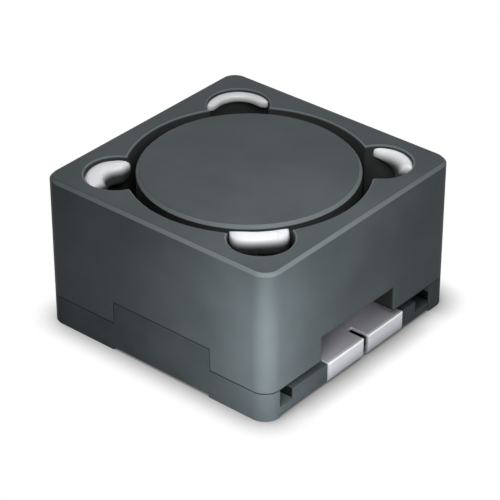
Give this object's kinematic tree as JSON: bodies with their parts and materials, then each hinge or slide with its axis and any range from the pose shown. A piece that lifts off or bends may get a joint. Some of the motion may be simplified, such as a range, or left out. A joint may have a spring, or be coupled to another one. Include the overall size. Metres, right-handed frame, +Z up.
{
  "type": "shielded surface-mount power inductor",
  "caption": "Square shielded surface-mount power inductor: ferrite drum core in a ferrite shield ring on a moulded base with tinned clip terminals at opposite sides.",
  "frame": {"origin": "the centre of the footprint, on the board plane", "axes": "+Z up from the board, +X towards the start terminal, so the two terminals lie on X"},
  "size_m": [0.0126, 0.0126, 0.0072],
  "materials": {
    "ferrite": "sintered matte dark grey ferrite",
    "enamelled_copper": "enamelled copper wire",
    "base_plastic": "matte moulded black plastic",
    "tinned_strip": "satin tinned bronze strip",
    "solder": "smooth tin solder",
    "bond_adhesive": "dark cured adhesive",
    "bead_adhesive": "glossy white cured adhesive"
  },
  "bodies": {
    "root": {"shield_core": "ferrite", "drum_core": "ferrite", "winding": "enamelled_copper", "base": "base_plastic", "start_terminal": "tinned_strip", "finish_terminal": "tinned_strip", "start_solder": "solder", "finish_solder": "solder", "core_bond": "bond_adhesive", "adhesive_bead_front": "bead_adhesive", "adhesive_bead_back": "bead_adhesive", "adhesive_bead_left": "bead_adhesive", "adhesive_bead_right": "bead_adhesive"}
  },
  "joints": []
}
